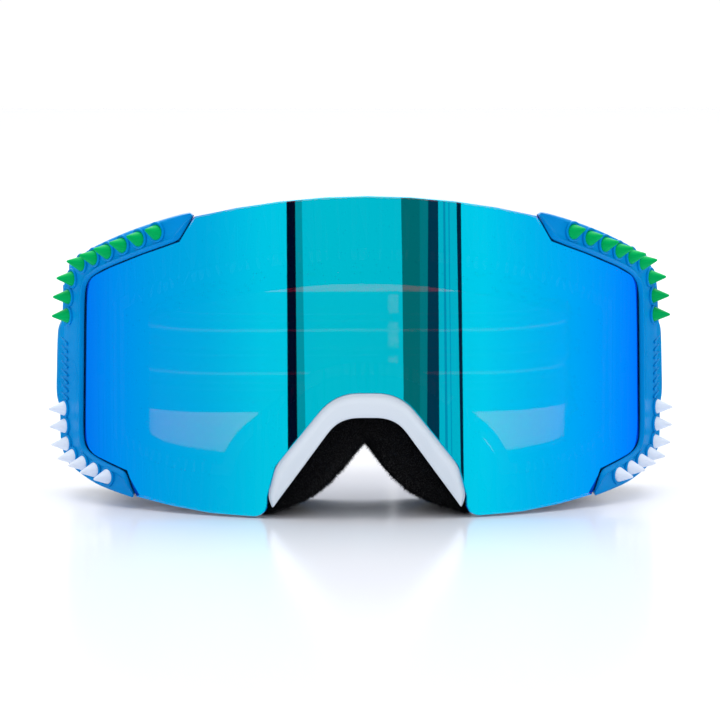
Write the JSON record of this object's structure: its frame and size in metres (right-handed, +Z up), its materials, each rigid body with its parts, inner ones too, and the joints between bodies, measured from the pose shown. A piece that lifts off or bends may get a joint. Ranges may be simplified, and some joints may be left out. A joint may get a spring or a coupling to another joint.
{
  "type": "ski goggles",
  "caption": "Ski goggles with a magnetic cylindrical mirror lens, spiked side frames, nose rim, layered face foam and a strap on hinged arms.",
  "frame": {"origin": "on the ground under the middle of the bounding box, which is on the axis of the lens's cylinder", "axes": "+Z up, -Y the way the lens faces, +X towards the wearer's left"},
  "size_m": [0.192, 0.2008, 0.0945],
  "materials": {
    "frame_white": "satin",
    "rim_white": "gloss",
    "side_blue": "satin",
    "spike_green": "satin",
    "spike_white": "satin",
    "lens_mirror": "gloss",
    "lens_inner": "gloss",
    "carrier_dark": "matte",
    "magnet_nickel": "polished",
    "gasket_foam": "matte",
    "vent_foam": "matte",
    "foam_dense": "matte",
    "foam_soft": "matte",
    "fleece": "matte",
    "steel": "satin",
    "screw_black": "satin",
    "strap_webbing": "matte",
    "grip_silicone": "satin",
    "slider_black": "satin"
  },
  "bodies": {
    "frame": {"main_frame": "frame_white", "nose_rim": "rim_white", "frame_magnets": "magnet_nickel", "top_vent_foam": "vent_foam", "bottom_vent_foam_left": "vent_foam", "bottom_vent_foam_right": "vent_foam", "foam_base": "foam_dense", "foam_mid": "foam_soft", "fleece_liner": "fleece", "side_frame_left": "side_blue", "side_frame_right": "side_blue", "side_frame_screws": "screw_black", "green_spikes_left": "spike_green", "green_spikes_right": "spike_green", "white_spikes_left": "spike_white", "white_spikes_right": "spike_white", "hinge_pin_left": "steel", "hinge_pin_right": "steel", "strap_rear": "strap_webbing", "strap_grip": "grip_silicone"},
    "lens": {"outer_lens": "lens_mirror", "lens_carrier": "carrier_dark", "lens_magnets": "magnet_nickel", "lens_gasket": "gasket_foam", "inner_lens": "lens_inner"},
    "strap_arm_left": {"outrigger_arm_left": "side_blue", "strap_loop_left": "strap_webbing"},
    "strap_arm_right": {"outrigger_arm_right": "side_blue", "strap_loop_right": "strap_webbing"},
    "slider_left": {"strap_slider_left": "slider_black"},
    "slider_right": {"strap_slider_right": "slider_black"}
  },
  "joints": [
    {"name": "lens_pull_off", "type": "slide", "parent": "frame", "child": "lens", "axis": [0, -1, 0], "range_m": [0, 0.04]},
    {"name": "strap_arm_left_swing", "type": "hinge", "parent": "frame", "child": "strap_arm_left", "pos_m": [0.0892, -0.0195, 0.044], "axis": [0, 0, -1], "range_deg": [-4, 14], "deforming": ["strap_rear", "strap_grip"]},
    {"name": "strap_slider_left_slide", "type": "slide", "parent": "strap_arm_left", "child": "slider_left", "axis": [-0.0872, 0.9962, 0], "range_m": [-0.004, 0.015]},
    {"name": "strap_arm_right_swing", "type": "hinge", "parent": "frame", "child": "strap_arm_right", "pos_m": [-0.0892, -0.0195, 0.044], "axis": [0, 0, 1], "range_deg": [-4, 14], "deforming": ["strap_rear", "strap_grip"]},
    {"name": "strap_slider_right_slide", "type": "slide", "parent": "strap_arm_right", "child": "slider_right", "axis": [0.0872, 0.9962, 0], "range_m": [-0.004, 0.015]}
  ]
}
